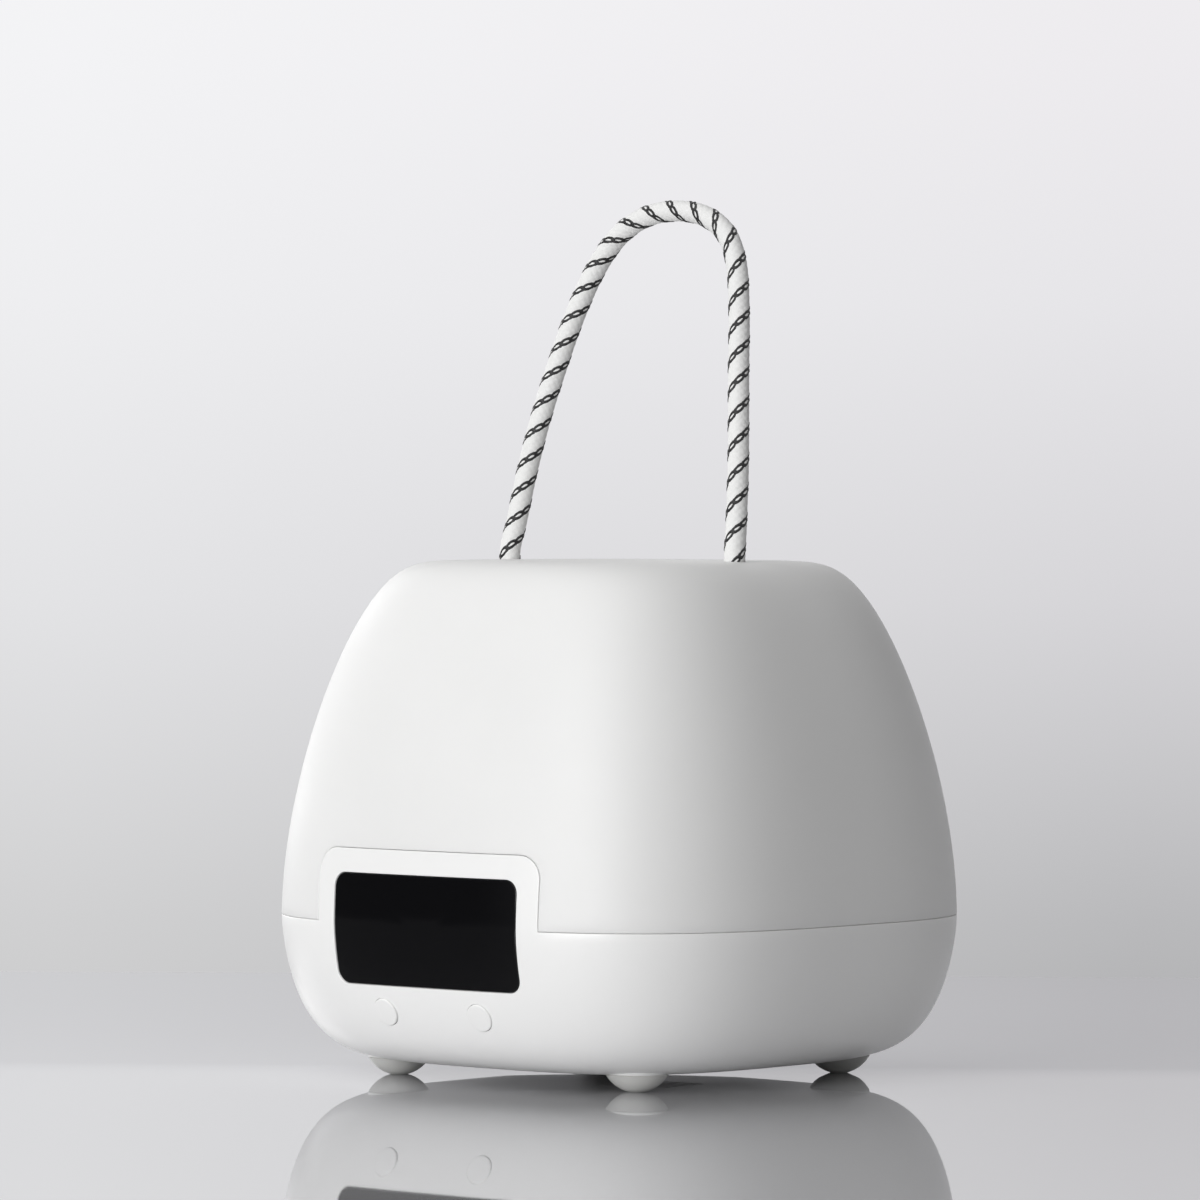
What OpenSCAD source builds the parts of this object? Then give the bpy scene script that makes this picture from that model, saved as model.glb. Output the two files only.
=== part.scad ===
// Bedside lantern: a milky dome shade on a white base with a clock window and a rope handle.
// Millimetres, +Z up, the clock window faces -Y, origin on the table under the middle of the lantern.

/* [Body] */
// Half of the body's width, measured at the seam between the base and the shade
half_width = 74.5; // [73:0.5:76]
// Power of the rounded-square plan: 2 is a circle, larger is squarer
squareness = 3.15; // [3:0.05:3.4]
// Height of the seam above the table
seam_z = 40; // [39.5:0.5:40.5]
// Height of the flat top above the table
top_z = 128.4; // [128:0.2:129]
// Gap between the underside of the base and the table
ground_gap = 3.6; // [3.4:0.1:3.8]
// Thickness of the moulded walls
wall = 2.4; // [2.2:0.1:2.6]

/* [Clock window] */
// Half of the window's width
window_half = 29.75; // [29:0.05:30]
// Lower edge of the window
window_low = 24.8; // [24.5:0.1:25.5]
// Upper edge of the window
window_high = 52.3; // [51.5:0.1:52.5]
// Half of the width of the tab of the base that rises round the window
tab_half = 35.75; // [35.1:0.05:36]
// Upper edge of that tab
tab_high = 58.2; // [57.8:0.1:58.8]

/* [Buttons] */
// Distance of each button from the middle
button_x = 15.3; // [15:0.1:15.6]
// Height of each button's centre on the sloping lower front
button_z = 18.3; // [18:0.1:18.6]
// Radius of a button's cap
button_r = 3.6; // [3.5:0.05:3.8]
// How far a button travels
button_travel = 0.5; // [0.3:0.1:0.5]

/* [Handle] */
// Radius of the braided rope
rope_r = 2.65; // [2.5:0.05:2.75]
// Distance of each rope hole from the middle of the top
rope_x = 37; // [36.5:0.5:37.5]
// Radius of the rope holes
rope_hole_r = 3; // [2.9:0.05:3.1]

/* [Feet] */
// Distance of each foot from the middle, along X and along Y
foot_at = 39; // [38.5:0.5:39.5]
// Radius of the ball that a foot is cut from
foot_ball_r = 8.8; // [8.6:0.1:9]

/* [Hidden] */

// Outline of the body -------------------------------------------------------------------------
columns = 72;                   // points round the plan
shoulder_draw = 0.2932;         // share of its width that the shade loses up to the top
shade_power = 14.6;             // how square the shoulder of the shade is
bowl_power = 9.3;               // how square the lower edge of the base is
shade_turns = [0, 0.02, 0.2, 0.8, 2.4, 6, 12, 20, 30, 42, 54, 65, 75, 82.5, 87.2, 89.3];   // degrees up
bowl_turns = [0, 8, 18, 30, 42, 54, 65, 75, 83, 88];             // degrees down the base
tab_rise = [4, 8, 13, 20.6];    // heights above the seam of the rings behind the window's tab

// Width factor of the shade at a height, where rise is 0 at the seam and 1 at the top
function shade_taper(rise) = 1 - shoulder_draw * pow(rise, 1.8);
function shade_width(rise) = shade_taper(rise) * pow(1 - pow(rise, 7), 1 / shade_power);
function bowl_width(drop) = pow(1 - pow(drop, 1.6), 1 / bowl_power);

// Half width of the skin at height z, or of a surface a depth inset inside it
function skin_half(z, inset = 0) = (half_width - inset) * (z >= seam_z
    ? shade_width((z - seam_z) / (top_z - inset - seam_z))
    : bowl_width((seam_z - z) / (seam_z - ground_gap - inset)));

// Front of the skin, on the -Y side, at a place x and height z
function front_y(x, z, inset = 0) =
    -pow(pow(skin_half(z, inset), squareness) - pow(abs(x), squareness), 1 / squareness);

// One level ring of the rounded-square plan
function plan_ring(half, z) = [for (i = [0 : columns - 1])
    let (turn = 360 * i / columns, c = cos(turn), s = sin(turn))
    [half * sign(c) * pow(abs(c), 2 / squareness), half * sign(s) * pow(abs(s), 2 / squareness), z]];

function shade_ring(turn, inset) =
    let (rise = pow(sin(turn), 2 / 7))
    plan_ring((half_width - inset) * shade_taper(rise) * pow(cos(turn), 2 / shade_power),
              seam_z + (top_z - inset - seam_z) * rise);

function bowl_ring(turn, inset) =
    plan_ring((half_width - inset) * pow(cos(turn), 2 / bowl_power),
              seam_z - (seam_z - ground_gap - inset) * pow(sin(turn), 1.25));

function rise_ring(rise, inset) = plan_ring(skin_half(seam_z + rise, inset), seam_z + rise);

// Closed skin through a list of rings, each with the same number of points, capped at both ends
module skin_through(rings) {
    size = len(rings[0]);
    last = len(rings) - 1;
    points = [for (ring = rings) each ring];
    sides = [for (j = [0 : last - 1], i = [0 : size - 1])
        let (a = j * size + i, b = j * size + (i + 1) % size)
        each [[a, a + size, b + size], [a, b + size, b]]];
    caps = [[for (i = [0 : size - 1]) i], [for (i = [size - 1 : -1 : 0]) last * size + i]];
    polyhedron(points, concat(sides, caps));
}

// Thin slab that follows the front skin between two insets: columns run along x, rows along z
module front_slab(x_half, z_low, z_high, near, far) {
    nx = 16;
    nz = 10;
    size = (nx + 1) * (nz + 1);
    function spot(k, inset) =
        let (x = -x_half + 2 * x_half * (k % (nx + 1)) / nx,
             z = z_low + (z_high - z_low) * floor(k / (nx + 1)) / nz)
        [x, front_y(x, z, inset), z];
    points = [for (inset = [near, far], k = [0 : size - 1]) spot(k, inset)];
    cells = [for (j = [0 : nz - 1], i = [0 : nx - 1]) j * (nx + 1) + i];
    row = nx + 1;
    rim = concat([for (i = [0 : nx]) i], [for (j = [1 : nz]) j * row + nx],
                 [for (i = [nx - 1 : -1 : 0]) nz * row + i], [for (j = [nz - 1 : -1 : 1]) j * row]);
    front = [for (a = cells) each [[a, a + row + 1, a + 1], [a, a + row, a + row + 1]]];
    back = [for (f = front) [f[2] + size, f[1] + size, f[0] + size]];
    edge = [for (i = [0 : len(rim) - 1])
        let (a = rim[i], b = rim[(i + 1) % len(rim)])
        each [[a, b, b + size], [a, b + size, a + size]]];
    polyhedron(points, concat(front, back, edge));
}

// Rounded rectangle in X and Z, carried along Y from y_from to y_to
function arc(cx, cz, r, from) = [for (k = [0 : 6])
    let (turn = from + 15 * k) [cx + r * cos(turn), cz + r * sin(turn)]];
module rounded_prism(x_half, z_low, z_high, r, y_from, y_to) {
    outline = concat(arc(x_half - r, z_high - r, r, 0), arc(r - x_half, z_high - r, r, 90),
                     arc(r - x_half, z_low + r, r, 180), arc(x_half - r, z_low + r, r, 270));
    translate([0, y_to, 0]) rotate([90, 0, 0]) linear_extrude(y_to - y_from) polygon(outline);
}

// Round bar or hole between two heights
module post(x, y, r, low, high) {
    translate([x, y, low]) cylinder(h = high - low, r = r, $fn = 48);
}

// Block between two corners
module block(low, high) {
    translate(low) cube(high - low);
}

// Pan-head screw that points along -Z, its head's seat at the origin
module screw(r, length, head_r, head_h) {
    translate([0, 0, -length]) cylinder(h = length + 0.2, r = r, $fn = 32);
    difference() {
        cylinder(h = head_h, r = head_r, $fn = 32);
        for (turn = [0, 90]) rotate(turn)
            translate([-head_r * 0.55, -0.25, head_h * 0.45]) cube([head_r * 1.1, 0.5, head_h]);
    }
}

// Tube swept along points, with flat ends; the outline is turned to stay level with +X or +Y
function unit(v) = v / norm(v);
function heading(path, i) = unit(path[min(i + 1, len(path) - 1)] - path[max(i - 1, 0)]);
function sweep_ring(path, i, r, sides, side_way) =
    let (ahead = heading(path, i), up = unit(cross(ahead, side_way)), across = cross(up, ahead))
    [for (k = [0 : sides - 1]) let (turn = -360 * k / sides)
        path[i] + r * (cos(turn) * across + sin(turn) * up)];
module swept_tube(path, radii, sides, side_way) {
    skin_through([for (i = [0 : len(path) - 1]) sweep_ring(path, i, radii[i], sides, side_way)]);
}

// Points on a smooth curve through a list of points, steps points to each stretch
function smooth_spot(p, i, t) =
    let (last = len(p) - 1, a = p[max(i - 1, 0)], b = p[i], c = p[min(i + 1, last)], d = p[min(i + 2, last)])
    0.5 * (2 * b + (c - a) * t + (2 * a - 5 * b + 4 * c - d) * t * t + (3 * b - a - 3 * c + d) * t * t * t);
function smooth_path(p, steps) = concat(
    [for (i = [0 : len(p) - 2], k = [0 : steps - 1]) smooth_spot(p, i, k / steps)], [p[len(p) - 1]]);

// Places ---------------------------------------------------------------------------------------
feet = [[-foot_at, -foot_at], [foot_at, -foot_at], [-foot_at, foot_at], [foot_at, foot_at]];
foot_top = 4.4;                 // height of the flat seat that a foot is pressed against
foot_flat = 2;                  // radius of a foot's flat
ball_centre = sqrt(pow(foot_ball_r, 2) - pow(foot_flat, 2));   // height of that ball's centre
spigot_r = 3;                   // radius of the plug on top of a foot
pocket_top = 10.4;              // upper end of the pocket for the plug and the screw head
deck_z = 33;                    // underside of the deck
deck_t = 2;                     // thickness of the deck
deck_half = 70.4;               // half width of the deck
board_t = 1.6;                  // thickness of a circuit board
button_gap = 0.2;               // clearance round a button's cap
stem_end = 8;                   // depth of the end of a button's stem
main_z = 18.8;                  // underside of the main board
main_bosses = [[-28, 14, 5], [28, 14, 5], [-28, 54, 7.2], [28, 54, 7.2]];   // x, y and foot of each
led_bosses = [[0, 26], [-22.5, -13], [22.5, -13]];
led_hole = [11, 2];             // where the light board's lead comes up
usb_z = 22;                     // height of the charging socket's middle
usb_y = 63.2;                   // back end of the charging socket
cell_r = 9.1;                   // radius of the battery cell
cell_y = -22;                   // place of the cell's axis
cell_z = 18;                    // height of the cell's axis
speaker_y = 12;                 // centre of the speaker
speaker_r = 14;                 // radius of the speaker
display_y = -60;                // front of the display's circuit board
display_front = -68;            // face of the display module
display_bosses = [[-32.6, 33], [32.6, 33], [-32.6, 49.5], [32.6, 49.5]];
button_slope = 25.6;            // degrees that the front leans under itself at the buttons
button_y = front_y(button_x, button_z);
guide_half = 28;                // half width of the button guide
guide_posts = 24;               // place of the guide's two columns along X
key_board_depth = 12.55;        // how far the key board lies behind the skin
anchor_z = 121.6;               // underside of the rope anchor
anchor_screw_x = 18;            // place of the anchor's screws
hinge_z = 131.2;                // height at which the rope bends
lead_r = 0.8;                   // radius of an inner lead
connector_x = [-22, -11, 0, 11, 22];
connector_z = 22.4;             // height of the leads at the connectors

// Route of the rope, from its right root to the middle of the arch
rope_half = [
    [37, 0, 131.2], [36.4, 1.2, 136], [35.6, 2.5, 143], [34.7, 4, 151], [32.7, 6.5, 163.5],
    [30.2, 9.5, 176], [27, 13.5, 190.5], [23, 17.2, 202.5], [17.5, 19.5, 210.5],
    [9.5, 20.3, 215], [0, 20.5, 216.3]
];
rope_route = concat(rope_half,
    [for (i = [len(rope_half) - 2 : -1 : 0]) [-rope_half[i][0], rope_half[i][1], rope_half[i][2]]]);

// Routes of the inner leads
battery_route = [[32.5, -22, 22], [34.5, -21.8, 22.2], [37, -19, 23], [36, -12, 24.4],
                 [32, -4, 24.6], [26, 2, 23.6], [22.6, 7, 22.6], [22, 12, 22.4]];
led_route = [[11, 12, 22.4], [11, 9, 22.6], [11, 5.4, 23.6], [11, 3, 26], [11, 2, 30], [11, 2, 35]];
display_route = [[-11, 12, 22.4], [-11, 9, 22.6], [-11, 4, 24.6], [-11, -3, 28.8], [-11, -10, 31],
                 [-11, -24, 31.4], [-11, -40, 31.4], [-11, -52, 31.6], [-11, -58.4, 31.8]];
key_route = [[0, 12, 22.4], [0, 9, 22.6], [0, 4, 24.6], [0, -3, 28.6], [0, -9, 30.6], [0, -24, 30.8],
             [0, -40, 30.6], [0, -48, 28.8], [0, -53, 26.2], [0, -57.15, 24.24]];
speaker_route = [[-22, 12, 22.4], [-22, 9, 22.5], [-22, 5, 21], [-22, 4, 17], [-21.6, 5, 12.5],
                 [-20, 8.6, 9.8], [-17.4, 11.4, 9], [-14, 12, 9]];

// Frame of a button: the origin lies on the skin, +Z points out of it
module at_button(x) {
    translate([x, button_y, button_z]) rotate([90 + button_slope, 0, 0]) children();
}

// Base -----------------------------------------------------------------------------------------
module tab_prism(gap) {
    rounded_prism(tab_half + gap, seam_z - 20, tab_high + gap, 6 + gap, -half_width - 6, -56);
}

module base_walls() {
    outer = concat([for (i = [len(tab_rise) - 1 : -1 : 0]) rise_ring(tab_rise[i], 0)],
                   [for (turn = bowl_turns) bowl_ring(turn, 0)]);
    inner = concat([for (i = [len(tab_rise) - 1 : -1 : 0]) rise_ring(tab_rise[i], wall)],
                   [for (turn = bowl_turns) bowl_ring(turn, wall)]);
    // down the outside, back up the inside, and over the rim
    rings = concat([for (i = [len(outer) - 1 : -1 : 0]) outer[i]], inner);
    skin_through(rings);
}

module base_shell() color("white") difference() {
    union() {
        difference() {
            base_walls();
            // everything above the seam goes, except the tab round the window
            difference() {
                block([-90, -90, seam_z], [90, 90, 80]);
                tab_prism(0);
            }
            rounded_prism(window_half, window_low, window_high, 3.5, -90, -56);
        }
        for (p = feet) {
            post(p[0], p[1], 7.8, foot_top, 7.6);
            post(p[0], p[1], 4.4, foot_top, deck_z);
        }
        for (p = main_bosses) post(p[0], p[1], 2.6, p[2], main_z);
        for (p = display_bosses) translate([p[0], display_y, p[1]]) rotate([90, 0, 0])
            cylinder(h = display_y - front_y(p[0], p[1], 1), r = 1.8, $fn = 32);
        for (x = [-guide_posts, guide_posts]) at_button(x)
            translate([0, 0, -5.2]) cylinder(h = 3.9, r = 2.4, $fn = 32);
        // seats of the battery cradle, and the collar round the speaker
        for (x = [-26, 26], y = [cell_y - 6, cell_y + 8]) post(x, y, 2, 5, 6.3);
        difference() {
            post(0, speaker_y, speaker_r + 1.5, 5, 10);
            post(0, speaker_y, speaker_r + 0.1, 6.2, 11);
            post(0, speaker_y, speaker_r - 2, 4, 7);
            block([-17, speaker_y - 2, 8], [-12, speaker_y + 2, 11]);
        }
    }
    for (p = feet) {
        post(p[0], p[1], 7.9, 0, foot_top);
        post(p[0], p[1], spigot_r + 0.1, foot_top - 1, pocket_top);
        post(p[0], p[1], 1.6, foot_top, deck_z + 1);
    }
    for (p = main_bosses) post(p[0], p[1], 1, main_z - 7, main_z + 1);
    for (p = display_bosses) translate([p[0], display_y + 1, p[1]]) rotate([90, 0, 0])
        cylinder(h = 7, r = 0.95, $fn = 32);
    for (x = [-guide_posts, guide_posts]) at_button(x)
        translate([0, 0, -6]) cylinder(h = 4, r = 0.95, $fn = 32);
    for (x = [-button_x, button_x]) at_button(x)
        translate([0, 0, -5]) cylinder(h = 10, r = button_r + button_gap, $fn = 64);
    // mouth of the charging socket
    charging_slot(4.7, 1.85, 60, 90);
    // sound slots under the speaker
    for (k = [-3 : 3]) block([-9, speaker_y + 3.2 * k - 0.7, 0], [9, speaker_y + 3.2 * k + 0.7, 8]);
}

module charging_slot(half, r, y_from, y_to) {
    translate([0, y_to, usb_z]) rotate([90, 0, 0]) linear_extrude(y_to - y_from) {
        square([2 * (half - r), 2 * r], center = true);
        for (side = [-1, 1]) translate([side * (half - r), 0]) circle(r = r, $fn = 32);
    }
}

// Shade ----------------------------------------------------------------------------------------
module shade_walls() {
    outer = [for (turn = shade_turns) shade_ring(turn, 0)];
    inner = [for (turn = shade_turns) shade_ring(turn, wall)];
    count = len(shade_turns);
    // down the inside from its cap, round the rim, and up the outside
    rings = concat([for (i = [count - 1 : -1 : 0]) inner[i]], outer);
    skin_through(rings);
}

module shade() color("whitesmoke") difference() {
    union() {
        shade_walls();
        for (x = [-anchor_screw_x, anchor_screw_x]) post(x, 0, 3.2, 124, top_z - 1.2);
    }
    tab_prism(0.15);
    for (x = [-rope_x, rope_x]) post(x, 0, rope_hole_r, 120, 140);
    for (x = [-anchor_screw_x, anchor_screw_x]) post(x, 0, 0.95, 120, 126.8);
}

// Window and clock display ---------------------------------------------------------------------
module window_lens() color([0.02, 0.02, 0.02]) intersection() {
    front_slab(window_half + 2, window_low - 2, window_high + 2, 0.2, 2.3);
    rounded_prism(window_half - 0.15, window_low + 0.15, window_high - 0.15, 3.35, -90, -56);
}

module window_gasket() color([0.1, 0.1, 0.1]) difference() {
    intersection() {
        front_slab(window_half + 4, window_low - 2, window_high + 3, 2.65, 3.5);
        // narrower below, where the flanges of the buttons pass
        rounded_prism(window_half + 0.9, window_low - 0.2, window_high + 0.9, 4.4, -90, -56);
    }
    rounded_prism(window_half - 2.5, window_low + 2.5, window_high - 2.5, 2, -91, -55);
}

module display_module() color([0.06, 0.06, 0.07]) difference() {
    block([-25, display_front, 30.6], [25, display_y, 49.6]);
    for (x = [-17.5, -7.5, 7.5, 17.5]) digit_recess(x);
    for (z = [37.5, 42.7]) translate([0, display_front - 0.5, z]) rotate([-90, 0, 0])
        cylinder(h = 1, r = 0.8, $fn = 24);
}

// Seven shallow recesses that make one figure of the clock
module digit_recess(x) {
    for (z = [34, 40.1, 46.2]) translate([x - 2.2, display_front - 0.5, z - 0.55]) cube([4.4, 1, 1.1]);
    for (side = [-3.5, 2.4], z = [34.8, 40.9])
        translate([x + side, display_front - 0.5, z]) cube([1.1, 1, 4.5]);
}

module display_board() color("darkgreen") difference() {
    block([-35, display_y, 30], [35, display_y + board_t, 54]);
    for (p = display_bosses) translate([p[0], display_y - 1, p[1]]) rotate([-90, 0, 0])
        cylinder(h = 4, r = 1.1, $fn = 32);
}

module display_screws() color("silver")
    for (p = display_bosses) translate([p[0], display_y + board_t, p[1]]) rotate([-90, 0, 0])
        screw(0.9, 6, 1.9, 1.4);

// Buttons --------------------------------------------------------------------------------------
// Domed cap, a flange behind the wall and a stem that slides in the guide
module button(x) color("white") at_button(x) rotate_extrude($fn = 64) polygon([
    [0, -stem_end], [1, -stem_end], [1.2, -stem_end + 0.2], [1.2, -4], [4.5, -4], [4.5, -3.3],
    [button_r, -3.3], [button_r, 0], [button_r - 0.1, 0.15], [button_r - 0.3, 0.25], [2, 0.36], [0, 0.4]
]);
module button_left() button(-button_x);
module button_right() button(button_x);

module button_guide() color("gainsboro") at_button(0) difference() {
    union() {
        block([-guide_half, -4.6, -7.2], [guide_half, 4.2, -5.2]);
        for (x = [-guide_posts, guide_posts]) translate([x, 0, -key_board_depth])
            cylinder(h = key_board_depth - 6, r = 2.4, $fn = 32);
    }
    for (x = [-button_x, button_x]) translate([x, 0, -8]) cylinder(h = 4, r = 1.28, $fn = 48);
    for (x = [-guide_posts, guide_posts]) translate([x, 0, -14]) cylinder(h = 10, r = 1.1, $fn = 32);
}

module key_board() color("darkgreen") at_button(0) difference() {
    block([-guide_half, -4.6, -key_board_depth - 1.2], [guide_half, 4.2, -key_board_depth]);
    for (x = [-guide_posts, guide_posts]) translate([x, 0, -14]) cylinder(h = 4, r = 1.1, $fn = 32);
}

// Square switch bodies, each with the round plunger that a stem presses
module key_switches() color("dimgray") for (x = [-button_x, button_x]) at_button(0) {
    block([x - 3, -3, -key_board_depth], [x + 3, 3, -9.35]);
    translate([x, 0, -9.45]) cylinder(h = 9.4 - stem_end - button_travel, r = 1.5, $fn = 32);
}

module key_screws() color("silver") at_button(0) for (x = [-guide_posts, guide_posts])
    translate([x, 0, -key_board_depth - 1.2]) rotate([180, 0, 0]) screw(0.9, 11, 1.9, 1.3);

// Deck and light -------------------------------------------------------------------------------
module deck_plate(half, low, thick) {
    translate([0, 0, low]) linear_extrude(thick) difference() {
        polygon([for (p = plan_ring(half, 0)) [p[0], p[1]]]);
        translate([-39, -90]) square([78, 34]);
    }
}

module inner_deck() color("white") difference() {
    union() {
        deck_plate(deck_half, deck_z, deck_t);
        for (p = feet) post(p[0], p[1], 3.4, deck_z + deck_t, deck_z + 8);
        for (p = led_bosses) post(p[0], p[1], 2.6, deck_z - 4, deck_z);
    }
    for (p = feet) post(p[0], p[1], 1.5, deck_z - 1, deck_z + 7);
    for (p = led_bosses) post(p[0], p[1], 0.95, deck_z - 3.4, deck_z + 3);
    post(led_hole[0], led_hole[1], 2.6, deck_z - 1, deck_z + 3);
}

module deck_screws() color("silver") for (p = feet)
    translate([p[0], p[1], pocket_top]) rotate([180, 0, 0]) screw(1.45, 28, 2.8, 1.8);

module led_board() color("white") difference() {
    post(0, 0, 31, deck_z + deck_t, deck_z + deck_t + board_t);
    for (p = led_bosses) post(p[0], p[1], 1.1, deck_z, deck_z + 6);
}

// Two rings of light chips, the outer one clear of the screws
module led_chips() color("lightyellow") for (ring = [[21, 12], [11, 6]], k = [0 : ring[1] - 1])
    rotate(360 * (k + 0.5) / ring[1]) translate([ring[0] - 1.4, -1.4, deck_z + deck_t + board_t])
        cube([2.8, 2.8, 0.9]);

module led_screws() color("silver") for (p = led_bosses)
    translate([p[0], p[1], deck_z + deck_t + board_t]) screw(0.9, 6.5, 1.9, 1.3);

module reflector_sheet() color("white") difference() {
    deck_plate(deck_half - 3, deck_z + deck_t, 0.4);
    post(0, 0, 31.5, deck_z, deck_z + 4);
    for (p = feet) post(p[0], p[1], 3.7, deck_z, deck_z + 4);
}

// Main board, charging socket, battery and speaker ---------------------------------------------
module main_board() color("darkgreen") difference() {
    union() {
        block([-31, 8, main_z], [31, 63.5, main_z + board_t]);
        block([-6, 60, main_z], [6, 66.2, main_z + board_t]);
    }
    for (p = main_bosses) post(p[0], p[1], 1.2, main_z - 1, main_z + 3);
}

module main_board_chips() color([0.15, 0.15, 0.16]) {
    top = main_z + board_t;
    block([-8, 34, top], [2, 44, top + 1.2]);
    block([-22, 30, top], [-16, 35, top + 1.5]);
    block([12, 30, top], [18, 36, top + 3]);
    block([9, 46, top], [14, 50, top + 1.2]);
    for (x = [-20, -14], y = [44, 49]) block([x, y, top], [x + 2, y + 1.2, top + 0.8]);
    translate([22, 42, top]) cylinder(h = 6, r = 3, $fn = 32);
}

module main_connectors() color("ivory") for (x = connector_x)
    block([x - 3, 12, main_z + board_t], [x + 3, 17, main_z + board_t + 4]);

module main_screws() color("silver") for (p = main_bosses)
    translate([p[0], p[1], main_z + board_t]) screw(0.95, 7, 2, 1.4);

// Charging socket: a shell with a tongue in its mouth
module usb_socket() color("silver") {
    difference() {
        charging_slot(4.47, 1.6, usb_y, usb_y + 7.3);
        charging_slot(4.15, 1.28, usb_y + 1, usb_y + 8);
    }
    block([-3.3, usb_y + 0.8, usb_z - 0.35], [3.3, usb_y + 6.4, usb_z + 0.35]);
}

module battery_cell() color("steelblue") translate([-32.5, cell_y, cell_z]) rotate([0, 90, 0]) {
    cylinder(h = 65, r = cell_r, $fn = 64);
    translate([0, 0, -1.2]) cylinder(h = 1.4, r = 3, $fn = 32);
}

module battery_cradle() color("gainsboro") difference() {
    union() {
        block([-30, cell_y - 12, 6.3], [30, cell_y + 12, 19]);
        block([-5, cell_y - 17, 14], [5, cell_y + 17, 20]);
    }
    translate([-40, cell_y, cell_z]) rotate([0, 90, 0]) cylinder(h = 80, r = cell_r + 0.1, $fn = 64);
    for (side = [-1, 1]) post(0, cell_y + 14.6 * side, 0.95, 15, 21);
}

// Bridge over the cell, with a foot on each side
module battery_strap() color("white") difference() {
    union() {
        block([-5, cell_y - 11.6, 20], [5, cell_y + 11.6, 28.6]);
        block([-5, cell_y - 17, 20], [5, cell_y + 17, 21.2]);
    }
    block([-6, cell_y - 10.2, 18], [6, cell_y + 10.2, 27.2]);
    for (side = [-1, 1]) post(0, cell_y + 14.6 * side, 1.1, 19, 22);
}

module strap_screws() color("silver") for (side = [-1, 1])
    translate([0, cell_y + 14.6 * side, 21.2]) screw(0.9, 5.5, 1.9, 1.3);

module alarm_speaker() color([0.2, 0.2, 0.22]) difference() {
    union() {
        post(0, speaker_y, speaker_r, 6.2, 9.6);
        post(0, speaker_y, 8, 9.6, 12.2);
    }
    post(0, speaker_y, speaker_r - 2.6, 5, 7.4);
}

// Feet -----------------------------------------------------------------------------------------
// Rubber ball foot with a flat underneath and a plug that closes the screw's pocket
module foot(x, y) color("white") translate([x, y, 0]) rotate_extrude($fn = 64) polygon(concat(
    [[0, 0]],
    [for (z = [0 : 0.55 : foot_top]) [sqrt(pow(foot_ball_r, 2) - pow(ball_centre - z, 2)), z]],
    [[spigot_r, foot_top], [spigot_r, 8], [spigot_r - 0.4, 8.4], [0, 8.4]]));
module front_left_foot() foot(feet[0][0], feet[0][1]);
module front_right_foot() foot(feet[1][0], feet[1][1]);
module rear_left_foot() foot(feet[2][0], feet[2][1]);
module rear_right_foot() foot(feet[3][0], feet[3][1]);

// Rope handle ----------------------------------------------------------------------------------
// The arch ends in round tips centred on the line about which it leans
module handle_rope() color("white") {
    path = smooth_path(rope_route, 3);
    tip = [for (turn = [80, 55, 27]) path[0] - rope_r * sin(turn) * unit(path[1] - path[0])];
    other_tip = [for (i = [2 : -1 : 0]) [-tip[i][0], tip[i][1], tip[i][2]]];
    tip_radii = [for (turn = [80, 55, 27]) rope_r * cos(turn)];
    radii = concat(tip_radii, [for (p = path) rope_r], [for (i = [2 : -1 : 0]) tip_radii[i]]);
    swept_tube(concat(tip, path, other_tip), radii, 10, [0, 1, 0]);
}

module rope_tail(x) color("white") post(x, 0, rope_r, 116, hinge_z - rope_r - 0.35);
module rope_tail_left() rope_tail(-rope_x);
module rope_tail_right() rope_tail(rope_x);

module rope_crimp(x) color("silver") difference() {
    post(x, 0, 3.7, 112.4, 118);
    post(x, 0, rope_r + 0.03, 116, 119);
}
module rope_crimp_left() rope_crimp(-rope_x);
module rope_crimp_right() rope_crimp(rope_x);

module anchor_plate() color("gainsboro") difference() {
    union() {
        block([-rope_x - 6, -7, anchor_z], [rope_x + 6, 7, anchor_z + 2.4]);
        for (x = [-rope_x, rope_x]) post(x, 0, 4.6, 118, top_z - wall - 1);
    }
    for (x = [-rope_x, rope_x]) post(x, 0, rope_r + 0.05, 117, top_z);
    for (x = [-anchor_screw_x, anchor_screw_x]) post(x, 0, 1.1, anchor_z - 1, anchor_z + 4);
}

module anchor_screws() color("silver") for (x = [-anchor_screw_x, anchor_screw_x])
    translate([x, 0, anchor_z]) rotate([180, 0, 0]) screw(0.9, 5, 1.9, 1.4);

// Inner leads ----------------------------------------------------------------------------------
module lead(route, side_way) color("black") {
    path = smooth_path(route, 2);
    swept_tube(path, [for (p = path) lead_r], 8, side_way);
}
module battery_lead() lead(battery_route, [0, 0, 1]);
module led_lead() lead(led_route, [1, 0, 0]);
module display_lead() lead(display_route, [1, 0, 0]);
module key_lead() lead(key_route, [1, 0, 0]);
module speaker_lead() lead(speaker_route, [1, -1, 1]);

base_shell();
shade();
window_lens();
window_gasket();
display_module();
display_board();
display_screws();
button_left();
button_right();
button_guide();
key_board();
key_switches();
key_screws();
inner_deck();
deck_screws();
led_board();
led_chips();
led_screws();
reflector_sheet();
main_board();
main_board_chips();
main_connectors();
main_screws();
usb_socket();
battery_cell();
battery_cradle();
battery_strap();
strap_screws();
alarm_speaker();
front_left_foot();
front_right_foot();
rear_left_foot();
rear_right_foot();
handle_rope();
rope_tail_left();
rope_tail_right();
rope_crimp_left();
rope_crimp_right();
anchor_plate();
anchor_screws();
battery_lead();
led_lead();
display_lead();
key_lead();
speaker_lead();
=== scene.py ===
import math

import bpy
import numpy as np
from mathutils import Matrix, Vector


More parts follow.
